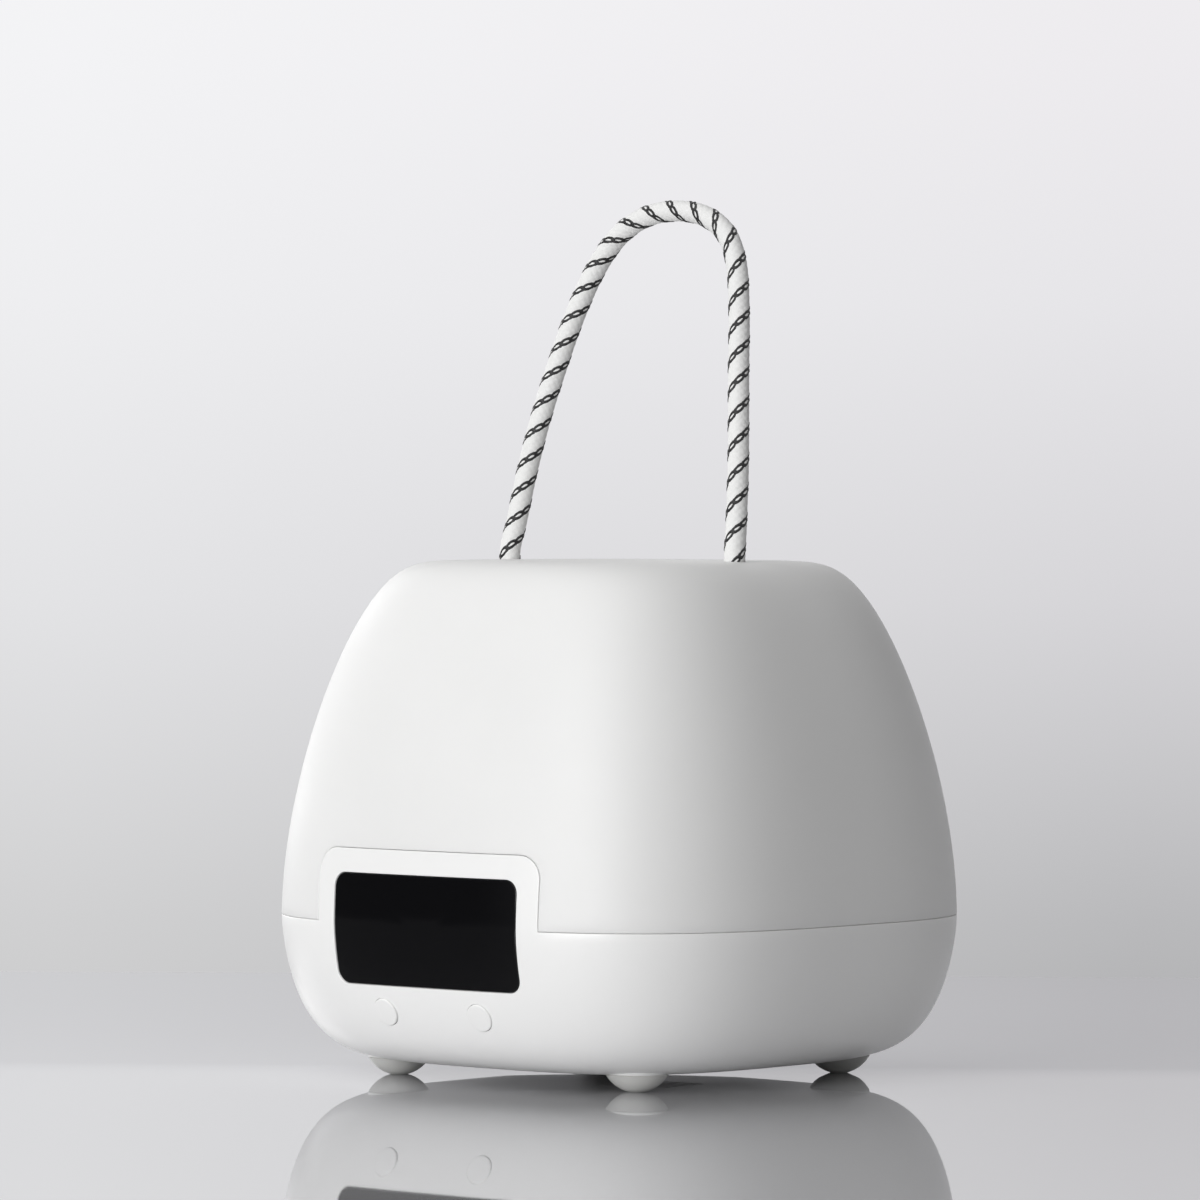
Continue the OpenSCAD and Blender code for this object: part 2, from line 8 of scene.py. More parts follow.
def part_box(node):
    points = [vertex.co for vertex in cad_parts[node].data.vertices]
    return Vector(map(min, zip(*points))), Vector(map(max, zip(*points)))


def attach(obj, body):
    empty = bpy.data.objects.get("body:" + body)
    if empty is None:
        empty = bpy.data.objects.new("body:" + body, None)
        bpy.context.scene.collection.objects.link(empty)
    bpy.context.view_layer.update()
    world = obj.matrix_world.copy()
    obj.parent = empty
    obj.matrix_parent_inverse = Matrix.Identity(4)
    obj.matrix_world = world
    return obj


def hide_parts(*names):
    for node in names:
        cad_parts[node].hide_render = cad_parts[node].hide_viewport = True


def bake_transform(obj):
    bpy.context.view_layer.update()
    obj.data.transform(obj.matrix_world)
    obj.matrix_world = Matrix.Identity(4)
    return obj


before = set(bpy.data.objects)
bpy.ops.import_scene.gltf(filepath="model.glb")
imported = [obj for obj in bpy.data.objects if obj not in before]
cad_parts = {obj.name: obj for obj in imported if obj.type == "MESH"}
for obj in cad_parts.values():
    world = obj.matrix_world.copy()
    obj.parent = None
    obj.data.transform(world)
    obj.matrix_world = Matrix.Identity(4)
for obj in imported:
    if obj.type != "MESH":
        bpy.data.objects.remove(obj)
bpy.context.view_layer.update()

# ---------------------------------------------------------------------------------------------
# Base shell. The lower half of the casing, injection moulded in white ABS with a satin tool
# finish. It carries the tab round the clock window, and every inner part is screwed to it.
# ---------------------------------------------------------------------------------------------
MM = 0.001
body_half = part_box("shade")[1][0] / MM
seam_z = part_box("shade")[0][2] / MM
top_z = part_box("shade")[1][2] / MM
ground_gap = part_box("base_shell")[0][2] / MM
wall = 2.4
squareness = 3.15                          # power of the superellipse that the casing is from above
taper, taper_power = 0.2932, 1.8           # share of its width that the shade loses, and how late
shoulder_power, shoulder_root = 7, 14.6    # how late and how tightly the shoulder turns over
bowl_power, bowl_root = 1.6, 9.3           # the same for the bowl under the seam


def skin_half(z, inset=0.0):
    """Half width of the casing at height z. Above the seam it is (1 - taper * rise^1.8) times the 14.6th
    root of 1 - rise^7, and below it the 9.3th root of 1 - drop^1.6, where rise and drop go from 0 to 1."""
    rise = np.clip((z - seam_z) / (top_z - inset - seam_z), 0, 1)
    drop = np.clip((seam_z - z) / (seam_z - ground_gap - inset), 0, 1)
    above = (1 - taper * rise**taper_power) * (1 - rise**shoulder_power) ** (1 / shoulder_root)
    below = (1 - drop**bowl_power) ** (1 / bowl_root)
    return (body_half - inset) * np.where(z >= seam_z, above, below)


def front_point(x, z, inset=0.0):
    """Point of the front skin at x and z: y is minus the root of half^n - |x|^n, a superellipse."""
    half = skin_half(z, inset)
    depth = np.maximum(half**squareness - np.abs(x) ** squareness, 0) ** (1 / squareness)
    return np.stack(np.broadcast_arrays(x, -depth, z), -1)


# The unit superellipse, walked from the middle of the front towards +X, by share of its length
plan_turn = np.linspace(-math.pi / 2, 3 * math.pi / 2, 40001)
plan_unit = np.stack([np.sign(f) * np.abs(f) ** (2 / squareness)
                      for f in (np.cos(plan_turn), np.sin(plan_turn))], -1)
plan_share = np.concatenate([[0], np.cumsum(np.linalg.norm(np.diff(plan_unit, axis=0), axis=1))])
plan_share /= plan_share[-1]


def plan_point(share, half, z):
    """Point of the casing at a share of the way round, for a half width and a height."""
    x, y = (np.interp(share % 1, plan_share, plan_unit[:, k]) for k in (0, 1))
    return np.stack(np.broadcast_arrays(half * x, half * y, z), -1)


def share_at(x, z):
    """Share of the way round at which the front skin passes a given x at height z."""
    quarter = plan_share < 0.25
    return np.interp(x / skin_half(z), plan_unit[quarter, 0], plan_share[quarter])


def wrap_round(x, row_z, columns):
    """Grid of skin points in rows at heights row_z, from x on the front round the back to -x, at even
    shares of the way round."""
    start = share_at(x, row_z)[:, None]
    shares = start + (1 - 2 * start) * np.linspace(0, 1, columns)
    points = plan_point(shares, skin_half(row_z)[:, None], row_z[:, None])
    points[:, 0] = front_point(np.full(len(row_z), x), row_z)
    points[:, -1] = points[:, 0] * (-1, 1, 1)
    return points


def whole_ring(wrap_row, front_loop, z):
    """Closed ring at height z: a row of the wrap, then the points that the front's loop has there."""
    x = np.sort(front_loop[front_loop[:, 1] == z, 0])[1:-1]
    return np.concatenate([wrap_row, front_point(x, np.full(len(x), z))])


def stacked_rings(ring, scales, heights):
    """Grid of rings at heights, each the first one scaled about the upright axis."""
    points = np.empty((len(scales), len(ring), 3))
    points[..., :2] = ring[:, :2] * scales[:, None, None]
    points[..., 2] = heights[:, None]
    points[0] = ring
    return points


def grid_faces(rows, columns, around=False):
    """Corner numbers of the quads of a grid of points, its last column joined to the first if around."""
    across = np.arange(columns if around else columns - 1)
    i, j = np.meshgrid(np.arange(rows - 1), across, indexing="ij")
    k = (j + 1) % columns
    return np.stack([i * columns + j, i * columns + k, (i + 1) * columns + k, (i + 1) * columns + j],
                    -1).reshape(-1, 4)


def build(name, patches, smooth_angle=35):
    """One object from patches of (points in mm, quads): equal points are merged, flat quads dropped."""
    starts = np.cumsum([0] + [len(p.reshape(-1, 3)) for p, _ in patches])
    points = np.concatenate([p.reshape(-1, 3) for p, _ in patches]) * MM
    faces = np.concatenate([f + s for (_, f), s in zip(patches, starts)])
    weld = 0.002 * MM
    _, first, place = np.unique(np.round(points / weld).astype(int), axis=0, return_index=True,
                                return_inverse=True)
    mesh = bpy.data.meshes.new(name)
    rings = place.reshape(-1)[faces]
    quads = [list(dict.fromkeys(ring)) for ring in rings.tolist()]
    mesh.from_pydata(points[first].tolist(), [], [quad for quad in quads if len(quad) > 2])
    mesh.validate()
    mesh.shade_smooth()
    piece = bpy.data.objects.new(name, mesh)
    bpy.context.scene.collection.objects.link(piece)
    piece["smooth_angle"] = smooth_angle
    return piece


def harden(piece):
    """Applies the piece's modifiers and marks the edges that stay crisp."""
    bpy.context.view_layer.update()
    mesh = bpy.data.meshes.new_from_object(piece.evaluated_get(bpy.context.evaluated_depsgraph_get()))
    piece.modifiers.clear()
    piece.data = mesh
    mesh.shade_smooth()
    mesh.set_sharp_from_angle(angle=math.radians(piece["smooth_angle"]))
    return piece


def thicken(piece, thickness, edge):
    """Gives a sheet a wall on its inner side and rounds the rim."""
    solid = piece.modifiers.new("wall", "SOLIDIFY")
    solid.thickness = thickness * MM
    solid.offset = -1
    bevel = piece.modifiers.new("rim", "BEVEL")
    bevel.width = edge * MM
    bevel.segments = 3
    bevel.limit_method = "ANGLE"
    bevel.angle_limit = math.radians(50)


def cut(piece, cutter):
    """Takes the cutter's solid out of the piece."""
    boolean = piece.modifiers.new("cut", "BOOLEAN")
    boolean.object = cutter
    boolean.operation = "DIFFERENCE"
    boolean.solver = "EXACT"
    harden(piece)
    bpy.data.objects.remove(cutter)


round_sides = 64


def lathe(profile, centre=(0, 0, 0), along=(0, 0, 1)):
    """Points and quads of a profile of (radius, height) pairs turned about an axis through centre."""
    profile = np.array(profile, float)
    axis = np.array(along, float) / np.linalg.norm(along)
    side = np.cross(axis, (1, 0, 0) if abs(axis[0]) < 0.5 else (0, 1, 0))
    side /= np.linalg.norm(side)
    other = np.cross(axis, side)
    turn = np.linspace(0, 2 * math.pi, round_sides, endpoint=False)
    rim = np.cos(turn)[:, None] * side + np.sin(turn)[:, None] * other
    points = (np.array(centre, float) + profile[:, None, :1] * rim + profile[:, None, 1:] * axis)
    return points, grid_faces(len(profile), round_sides, around=True)


corner_steps = 8


def rounded_loop(x_half, low, high, radius, steps, lower_square=0.0):
    """Outline of a rounded rectangle in x and z from the middle of its foot, towards +x: quarter arcs at
    the corners, the lower two squared off over lower_square, and even steps between."""
    def stretch(a, b, count):
        return np.linspace(a, b, count + 1)[:-1]
    arc = stretch(0, math.pi / 2, corner_steps)
    lower = lower_square or radius
    if lower_square:
        ramp = stretch(-1, 1, corner_steps)
        corner_x, corner_z = np.minimum(ramp, 0) * lower + x_half, np.maximum(ramp, 0) * lower + low
    else:
        corner_x, corner_z = x_half - lower + lower * np.sin(arc), low + lower - lower * np.cos(arc)
    along_foot, to_seam, above_seam, along_top = steps
    right_x = np.concatenate([
        stretch(0, x_half - lower, along_foot), corner_x, np.full(to_seam + above_seam, x_half),
        x_half - radius + radius * np.cos(arc), stretch(x_half - radius, 0, along_top), [0]])
    right_z = np.concatenate([
        np.full(along_foot, low), corner_z, stretch(low + lower, seam_z, to_seam),
        stretch(seam_z, high - radius, above_seam), high - radius + radius * np.sin(arc),
        np.full(along_top, high), [high]])
    return np.stack([np.concatenate([right_x, -right_x[-2:0:-1]]),
                     np.concatenate([right_z, right_z[-2:0:-1]])], -1)


window_half, window_low, window_high, window_corner = 29.75, 24.8, 52.3, 3.5
tab_half, tab_low, tab_high, tab_corner, tab_foot = 35.75, 22.5, 58.2, 6, 5
loop_steps = (12, 5, 5, 14)
window_loop = rounded_loop(window_half, window_low, window_high, window_corner, loop_steps)
tab_loop = rounded_loop(tab_half, tab_low, tab_high, tab_corner, loop_steps, lower_square=tab_foot)

# between the window's edge and the edge of the tab, closer together next to both edges
frame_spacing = np.array([0, 0.07, 0.2, 0.4, 0.6, 0.8, 0.93, 1])[:, None, None]
frame_grid = window_loop + (tab_loop - window_loop) * frame_spacing
frame_points = front_point(frame_grid[..., 0], frame_grid[..., 1])
frame_faces = grid_faces(len(frame_grid), len(tab_loop), around=True)[:, ::-1]

# from one side of the tab round the back to the other, row by row up to the seam
side_from = loop_steps[0] + corner_steps // 2
side_to = loop_steps[0] + corner_steps + loop_steps[1] + 1
back_points = wrap_round(tab_half, tab_loop[side_from:side_to, 1], 150)
back_faces = grid_faces(*back_points.shape[:2])

# the bowl below, in rings that shrink to the middle of the underside, by the angle whose sine and
# cosine are the powers of the drop and of the width
bowl_top = math.asin(((seam_z - tab_low) / (seam_z - ground_gap)) ** (bowl_power / 2))
bowl_turn = np.concatenate([np.linspace(bowl_top, math.radians(84), 22),
                            np.radians([86.5, 88.5, 89.6, 89.95])])
bowl_z = seam_z - (seam_z - ground_gap) * np.sin(bowl_turn) ** (2 / bowl_power)
bowl_scale = np.cos(bowl_turn) ** (2 / bowl_root) / np.cos(bowl_top) ** (2 / bowl_root)
bowl_scale = np.append(bowl_scale, [bowl_scale[-1] * 0.5, 0])
bowl_z = np.append(bowl_z, [ground_gap, ground_gap])
bowl_points = stacked_rings(whole_ring(back_points[0], tab_loop, tab_low), bowl_scale, bowl_z)
bowl_faces = grid_faces(*bowl_points.shape[:2], around=True)[:, ::-1]

base = build("base_moulding", [(frame_points, frame_faces), (back_points, back_faces),
                               (bowl_points, bowl_faces)])
thicken(base, wall, edge=0.35)
harden(base)

# the holes of the buttons, square to the front where it slopes in under the window
press_slope = math.radians(25.6)
button_x, button_z, button_r = 15.3, 18.3, 3.6
button_out = np.array([0, -math.cos(press_slope), -math.sin(press_slope)])
button_spots = {side: front_point(np.array(x), np.array(button_z))
                for side, x in (("left", -button_x), ("right", button_x))}
hole_r, hole_reach = button_r + 0.12, 6
button_hole = [(0, -hole_reach), (hole_r, -hole_reach), (hole_r, -0.2), (hole_r + 0.08, 0),
               (hole_r + 0.18, 0.1), (hole_r + 0.18, 3), (0, 3)]
for spot in button_spots.values():
    cut(base, build("button_hole", [lathe(button_hole, spot, button_out)]))


def slot_block(name, x_half, z_half, y_low, y_high, centre_z):
    """Closed bar along Y whose section is two half circles of radius z_half joined by straights."""
    sides = 48
    turn = np.linspace(0, 2 * math.pi, sides, endpoint=False) + math.pi / sides
    x = (x_half - z_half) * np.sign(np.cos(turn)) + z_half * np.cos(turn)
    z = centre_z + z_half * np.sin(turn)
    rings = [np.stack([x * k, np.full(sides, y), centre_z + (z - centre_z) * k], -1)
             for y, k in ((y_low, 0), (y_low, 1), (y_high, 1), (y_high, 0))]
    return build(name, [(np.array(rings), grid_faces(4, sides, around=True)[:, ::-1])])


def box_middle(node):
    """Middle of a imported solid's box, in mm."""
    low, high = (np.array(corner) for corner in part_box(node))
    return (low + high) / 2 / MM


port_half, port_r, port_from, port_to = 4.7, 1.85, 64, 80
cut(base, slot_block("charging_hole", port_half, port_r, port_from, port_to, box_middle("usb_socket")[2]))

# seven slots under the speaker
slot_half_x, slot_half_y, slot_top, slot_pitch = 9, 0.7, 9, 3.2
block_faces = np.array([[0, 3, 2, 1], [4, 5, 6, 7], [0, 1, 5, 4], [1, 2, 6, 5], [2, 3, 7, 6], [3, 0, 4, 7]])
for number in range(-3, 4):
    slot_y = box_middle("alarm_speaker")[1] + slot_pitch * number
    corners = np.array([[slot_half_x * x, slot_y + slot_half_y * y, z] for z in (0, slot_top)
                        for x, y in ((-1, -1), (1, -1), (1, 1), (-1, 1))], float)
    cut(base, build("sound_slot", [(corners, block_faces)]))

# a flat seat for each foot
feet = {name: box_middle(name)
        for name in ("front_left_foot", "front_right_foot", "rear_left_foot", "rear_right_foot")}
foot_top, seat_r = 4.4, 7.75
seat_profile = [(0, foot_top), (seat_r - 0.35, foot_top), (seat_r - 0.1, foot_top + 0.05),
                (seat_r, foot_top + 0.3), (seat_r, foot_top + 3), (0, foot_top + 3)]
seats = build("foot_seats", [lathe(seat_profile, (*middle[:2], 0)) for middle in feet.values()],
              smooth_angle=60)
harden(seats)


def linear(colour):
    """Linear red, green, blue and alpha from an sRGB hex colour."""
    parts = [int(colour[k:k + 2], 16) / 255 for k in (1, 3, 5)]
    return [c / 12.92 if c <= 0.04045 else ((c + 0.055) / 1.055) ** 2.4 for c in parts] + [1.0]


def add_node(tree, kind, settings=(), links=()):
    """Adds one node: a setting is a socket's value or a property, a link is a socket's source."""
    node = tree.nodes.new(kind)
    for name, value in dict(settings).items():
        if isinstance(name, str) and hasattr(node, name) and name not in node.inputs:
            setattr(node, name, value)
        else:
            node.inputs[name].default_value = value
    for name, source in dict(links).items():
        tree.links.new(source, node.inputs[name])
    return node


def new_material(name, shader=()):
    """A material with one Principled shader with the sockets given, and its tree, shader and Object
    coordinates."""
    material = bpy.data.materials.new(name)
    material.use_nodes = True
    tree = material.node_tree
    tree.nodes.clear()
    principled = add_node(tree, "ShaderNodeBsdfPrincipled", shader)
    add_node(tree, "ShaderNodeOutputMaterial", links={"Surface": principled.outputs[0]})
    place = add_node(tree, "ShaderNodeTexCoord").outputs["Object"]
    return material, tree, principled, place


def moulded(name, colour, roughness, grain_mm, grain_depth_mm, cloud=0.03, shader=()):
    """A moulded plastic: a tool grain of a given size and depth, slow clouds in its colour and
    roughness from the way it filled the mould, and a plain dielectric gloss."""
    material, tree, principled, place = new_material(name, shader)
    cloud_mm = 28
    slow = add_node(tree, "ShaderNodeTexNoise", {"Scale": 1 / (cloud_mm * MM), "Detail": 3.0},
                    {"Vector": place})
    fine = add_node(tree, "ShaderNodeTexNoise", {"Scale": 1 / (grain_mm * MM), "Detail": 4.0,
                                                 "Roughness": 0.6}, {"Vector": place})
    darker, paler = ([min(1.0, c * (1 + s)) for c in linear(colour)[:3]] + [1] for s in (-cloud, cloud))
    tint = add_node(tree, "ShaderNodeMix", {"data_type": "RGBA", 6: darker, 7: paler},
                    {0: slow.outputs[0]})
    rough = add_node(tree, "ShaderNodeMapRange", {"From Min": 0.3, "From Max": 0.7,
                                                  "To Min": roughness * 0.88, "To Max": roughness * 1.12},
                     {"Value": slow.outputs[0]})
    bump = add_node(tree, "ShaderNodeBump", {"Strength": 0.6, "Distance": grain_depth_mm * MM},
                    {"Height": fine.outputs[0]})
    tree.links.new(tint.outputs[2], principled.inputs["Base Color"])
    tree.links.new(rough.outputs[0], principled.inputs["Roughness"])
    tree.links.new(bump.outputs[0], principled.inputs["Normal"])
    return material


# White ABS off a fine spark-eroded tool: a satin skin with a broad soft highlight
satin_abs = moulded("satin_white_abs", "#f7f7f6", 0.34, 0.45, 0.004, cloud=0.01, shader={"IOR": 1.52})


def dress(piece, material, body="lantern"):
    """Gives a new piece its material and the body that it rides on."""
    piece.data.materials.clear()
    piece.data.materials.append(material)
    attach(piece, body)
    return piece


dress(base, satin_abs)
dress(seats, satin_abs)
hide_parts("base_shell")

# ---------------------------------------------------------------------------------------------
# Shade. A milky polycarbonate dome with a matte outside, moulded in one piece with the notch for
# the base's tab, and dropped on the base so that only a hairline shows between them.
# ---------------------------------------------------------------------------------------------
notch_gap, seam_gap = 0.12, 0.1
collar_half, collar_high, collar_corner = 46.0, 69.0, 8.0
side_steps, top_steps = 7, 13


def gate_loop(x_half, high, corner, square=False):
    """Gate-shaped outline in x and z from the seam on the right, up, round the corner and over to the left.
    Its corners are quarter arcs, or square ones with half of the arc's points on each side."""
    up = np.linspace(seam_z + seam_gap, high - corner, side_steps + 1)[:-1]
    over = np.linspace(x_half - corner, 0, top_steps + 1)[1:]
    if square:
        ramp = np.linspace(-1, 1, corner_steps + 1)
        corner_x, corner_z = x_half - np.maximum(ramp, 0) * corner, high + np.minimum(ramp, 0) * corner
    else:
        arc = np.linspace(0, math.pi / 2, corner_steps + 1)
        corner_x, corner_z = x_half - corner + corner * np.cos(arc), high - corner + corner * np.sin(arc)
    x = np.concatenate([np.full(side_steps, x_half), corner_x, over])
    z = np.concatenate([up, corner_z, np.full(top_steps, high)])
    return np.stack([np.concatenate([x, -x[-2::-1]]), np.concatenate([z, z[-2::-1]])], -1)


# between the notch and a larger gate round it, closer together next to the notch
notch_loop = gate_loop(tab_half + notch_gap, tab_high + notch_gap, tab_corner + notch_gap)
collar_loop = gate_loop(collar_half, collar_high, collar_corner, square=True)
notch_spacing = np.array([0, 0.05, 0.16, 0.34, 0.56, 0.78, 1])[:, None, None]
notch_grid = notch_loop + (collar_loop - notch_loop) * notch_spacing
notch_points = front_point(notch_grid[..., 0], notch_grid[..., 1])
notch_faces = grid_faces(len(notch_grid), len(notch_loop))[:, ::-1]

# the wall from one side of the collar round the back to the other
wrap_points = wrap_round(collar_half, collar_loop[:side_steps + corner_steps // 2 + 1, 1], 140)
wrap_faces = grid_faces(*wrap_points.shape[:2])

# rings above: even steps up the wall, then closer ones over the shoulder and in across the top, by the
# share of the width that the shoulder leaves
wall_top = 118
wall_z = np.linspace(collar_high, wall_top, 20)
shoulder = (1 - ((wall_top - seam_z) / (top_z - seam_z)) ** shoulder_power) ** (1 / shoulder_root)
share_left = np.concatenate([np.linspace(shoulder, 0.6, 25)[1:], np.linspace(0.55, 0, 9)])
crown_rise = (1 - share_left**shoulder_root) ** (1 / shoulder_power)
ring_z = np.concatenate([wall_z, seam_z + (top_z - seam_z) * crown_rise])
ring_half = np.concatenate([skin_half(wall_z),
                            body_half * (1 - taper * crown_rise**taper_power) * share_left])
dome_points = stacked_rings(whole_ring(wrap_points[-1], collar_loop, collar_high),
                            ring_half / skin_half(collar_high), ring_z)
dome_faces = grid_faces(*dome_points.shape[:2], around=True)

shade = build("dome_shade", [(notch_points, notch_faces), (wrap_points, wrap_faces),
                             (dome_points, dome_faces)])
thicken(shade, wall, edge=0.3)
harden(shade)

# the two holes that the rope comes out of, with an eased edge
rope_x, rope_hole_r, hole_from = 37.0, 3.0, 120
rope_hole = [(0, hole_from), (rope_hole_r, hole_from), (rope_hole_r, top_z - 0.5),
             (rope_hole_r + 0.05, top_z - 0.15), (rope_hole_r + 0.25, top_z + 0.1),
             (rope_hole_r + 1, top_z + 1), (0, top_z + 1)]
for hole_x in (-rope_x, rope_x):
    cut(shade, build("rope_hole", [lathe(rope_hole, (hole_x, 0, 0))]))

# Opal polycarbonate: milky white through its thickness, so light softens inside it, with a fine
# matte grain outside that leaves no clear highlight
opal = moulded("opal_polycarbonate", "#efefee", 0.5, 0.35, 0.006, cloud=0.008,
               shader={"IOR": 1.58, "Subsurface Weight": 0.25, "Subsurface Radius": [1, 1, 1],
                       "Subsurface Scale": 3 * MM})
dress(shade, opal)
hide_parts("shade")

# ---------------------------------------------------------------------------------------------
# Clock window. A curved lens of black-tinted acrylic, polished on the outside, set a hair below
# the tab's surface on a ring of foam tape. The clock's figures shine through it when it is on.
# ---------------------------------------------------------------------------------------------
lens_gap, lens_sunk, lens_thick = 0.18, 0.2, 2.0
lens_loop = rounded_loop(window_half - lens_gap, window_low + lens_gap, window_high - lens_gap,
                         window_corner - lens_gap, loop_steps)
window_middle = np.array([0, (window_low + window_high) / 2])
shrink = np.array([1, 0.985, 0.95, 0.85, 0.7, 0.5, 0.25, 0])[:, None, None]
lens_grid = window_middle + (lens_loop - window_middle) * shrink
lens_points = front_point(lens_grid[..., 0], lens_grid[..., 1], lens_sunk)
lens = build("window_lens_pane", [(lens_points, grid_faces(len(shrink), len(lens_loop), around=True))])
thicken(lens, lens_thick, edge=0.22)
harden(lens)

# Tinted acrylic: almost black, with a mirror polish whose faint ripple comes from the moulding
tinted, tree, principled, place = new_material("black_tinted_acrylic", {
    "IOR": 1.49, "Roughness": 0.1, "Specular IOR Level": 0.25, "Base Color": linear("#0b0b0d")})
ripple_mm = 14
ripple = add_node(tree, "ShaderNodeTexNoise", {"Scale": 1 / (ripple_mm * MM), "Detail": 1.0},
                  {"Vector": place})
bump = add_node(tree, "ShaderNodeBump", {"Strength": 0.25, "Distance": 0.004 * MM},
                {"Height": ripple.outputs[0]})
tree.links.new(bump.outputs[0], principled.inputs["Normal"])
dress(lens, tinted)
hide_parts("window_lens")


def refinish(material, *nodes):
    """Gives CAD nodes a material in place of their plain one."""
    for node in nodes:
        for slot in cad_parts[node].material_slots:
            slot.material = material


# Foam tape: closed-cell PE foam, black and dull, with pores of about half a millimetre
foam = moulded("black_foam_tape", "#161616", 0.9, 0.5, 0.08, cloud=0.15)
refinish(foam, "window_gasket")

# ---------------------------------------------------------------------------------------------
# Buttons. Two small caps of the base's ABS, turned to follow the sloping front, each with a
# flange behind the wall that holds it in and a stem that reaches its switch.
# ---------------------------------------------------------------------------------------------


def onto_skin(points, out):
    """Moves points along a direction until |x|^n + |y|^n = half(z)^n, by Newton's method."""
    def miss(t):
        x, y, z = np.moveaxis(points + t[..., None] * out, -1, 0)
        return (np.abs(x) ** squareness + np.abs(y) ** squareness) ** (1 / squareness) - skin_half(z)
    travel = np.zeros(points.shape[:-1])
    nudge = 0.01
    for _ in range(8):
        travel = travel - miss(travel) * 2 * nudge / (miss(travel + nudge) - miss(travel - nudge))
    return points + travel[..., None] * out


proud, rim_round, rings_across = 0.4, 0.3, 9
flange_r, flange_front, flange_back, stem_r, stem_end = 4.5, -3.3, -4, 1.2, -8
rim_turn = np.linspace(math.pi / 2, 0, 5)[1:]
radii = np.concatenate([np.linspace(0, button_r - rim_round, rings_across),
                        button_r - rim_round + rim_round * np.cos(rim_turn)])
fall = np.concatenate([np.zeros(rings_across), rim_round - rim_round * np.sin(rim_turn)])
back_profile = [(button_r, flange_front), (flange_r, flange_front), (flange_r, flange_back),
                (stem_r, flange_back), (stem_r, stem_end + 0.2), (stem_r - 0.2, stem_end), (0, stem_end)]
for side, spot in button_spots.items():
    face, _ = lathe(np.stack([radii, 0 * radii], -1), spot, button_out)
    face = onto_skin(face, button_out) + (proud - fall[:, None, None]) * button_out
    back, _ = lathe(back_profile, spot, button_out)
    cap = np.concatenate([face, back])
    button = build(f"button_cap_{side}", [(cap, grid_faces(len(cap), round_sides, around=True)[:, ::-1])])
    harden(button)
    dress(button, satin_abs, f"{side}_button")
    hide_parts(f"button_{side}")

# ---------------------------------------------------------------------------------------------
# Feet. Four balls of white rubber, cut flat underneath, each pushed by its plug into the pocket
# that hides a deck screw.
# ---------------------------------------------------------------------------------------------
ball_r, ball_flat, plug_r, plug_top = 8.8, 2.0, 3, 8.4
ball_centre = math.sqrt(ball_r**2 - ball_flat**2)
ball_z = np.linspace(0, 1, 16) ** 1.5 * (foot_top - 0.3)
foot_profile = np.concatenate([
    [(0, 0), (ball_flat * 0.6, 0)],
    np.stack([np.sqrt(ball_r**2 - (ball_centre - ball_z) ** 2), ball_z], -1),
    [(seat_r - 0.03, foot_top - 0.12), (seat_r - 0.25, foot_top), (plug_r, foot_top),
     (plug_r, plug_top - 0.4), (plug_r - 0.4, plug_top), (0, plug_top)]])
# White TPE: soft-touch, slightly grey where it has picked up handling, with a dull sheen
foot_rubber = moulded("white_tpe_rubber", "#d9d9d6", 0.42, 0.3, 0.006, cloud=0.04,
                      shader={"IOR": 1.5})
for name, middle in feet.items():
    points, faces = lathe(foot_profile, (*middle[:2], 0))
    foot = harden(build(f"{name}_ball", [(points, faces)]))
    dress(foot, foot_rubber)
    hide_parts(name)

# ---------------------------------------------------------------------------------------------
# Rope handle. One length of round braid, white polyester over a stiff core, with a black tracer
# of two crossing yarns that winds round it. Both ends pass into the shade and are crimped there.
# ---------------------------------------------------------------------------------------------
rope_r = 2.65
# the right half of its route: straight up from the crimp and out of the hole, then over to the middle,
# leaning to the rear
rope_inside = np.array([[rope_x, 0, 116.2], [rope_x, 0, 121], [rope_x, 0, 126]])
rope_outside = np.array([
    [rope_x, 0, 131.2], [36.4, 1.2, 136], [35.6, 2.5, 143], [34.7, 4, 151], [32.7, 6.5, 163.5],
    [30.2, 9.5, 176], [27, 13.5, 190.5], [23, 17.2, 202.5], [17.5, 19.5, 210.5],
    [9.5, 20.3, 215], [0, 20.5, 216.3]])
right_half = np.concatenate([rope_inside, rope_outside])
route = np.concatenate([right_half * (-1, 1, 1), right_half[-2::-1]])


def run_along(line):
    """Distance along a line of points, from its first to each of them."""
    return np.concatenate([[0], np.cumsum(np.linalg.norm(np.diff(line, axis=0), axis=1))])


def even(line, step):
    """The same line with points at an even step."""
    run = run_along(line)
    at = np.linspace(0, run[-1], int(round(run[-1] / step)) + 1)
    return np.stack([np.interp(at, run, line[:, k]) for k in range(3)], -1)


def through(points, gap):
    """Even steps along a Catmull-Rom curve through points, then a weighted mean over 8 mm that takes
    out the small wobbles between them; its ends stay straight."""
    ends = np.concatenate([[2 * points[0] - points[1]], points, [2 * points[-1] - points[-2]]])
    a, b, c, d = (ends[k:len(ends) - 3 + k, None] for k in range(4))
    t = np.linspace(0, 1, 60, endpoint=False)[None, :, None]
    curve = 0.5 * (2 * b + (c - a) * t + (2 * a - 5 * b + 4 * c - d) * t**2
                   + (3 * b - a - 3 * c + d) * t**3)
    step, reach = 0.1, 40
    curve = even(np.concatenate([curve.reshape(-1, 3), points[-1:]]), step)
    lead = curve[0] + (curve[0] - curve[1:reach + 1])[::-1]
    tail = curve[-1] + (curve[-1] - curve[-reach - 1:-1])[::-1]
    longer = np.concatenate([lead, curve, tail])
    weights = np.hanning(2 * reach + 3)[1:-1]
    weights /= weights.sum()
    smooth = np.stack([np.convolve(longer[:, k], weights, "valid") for k in range(3)], -1)
    return even(smooth, gap)


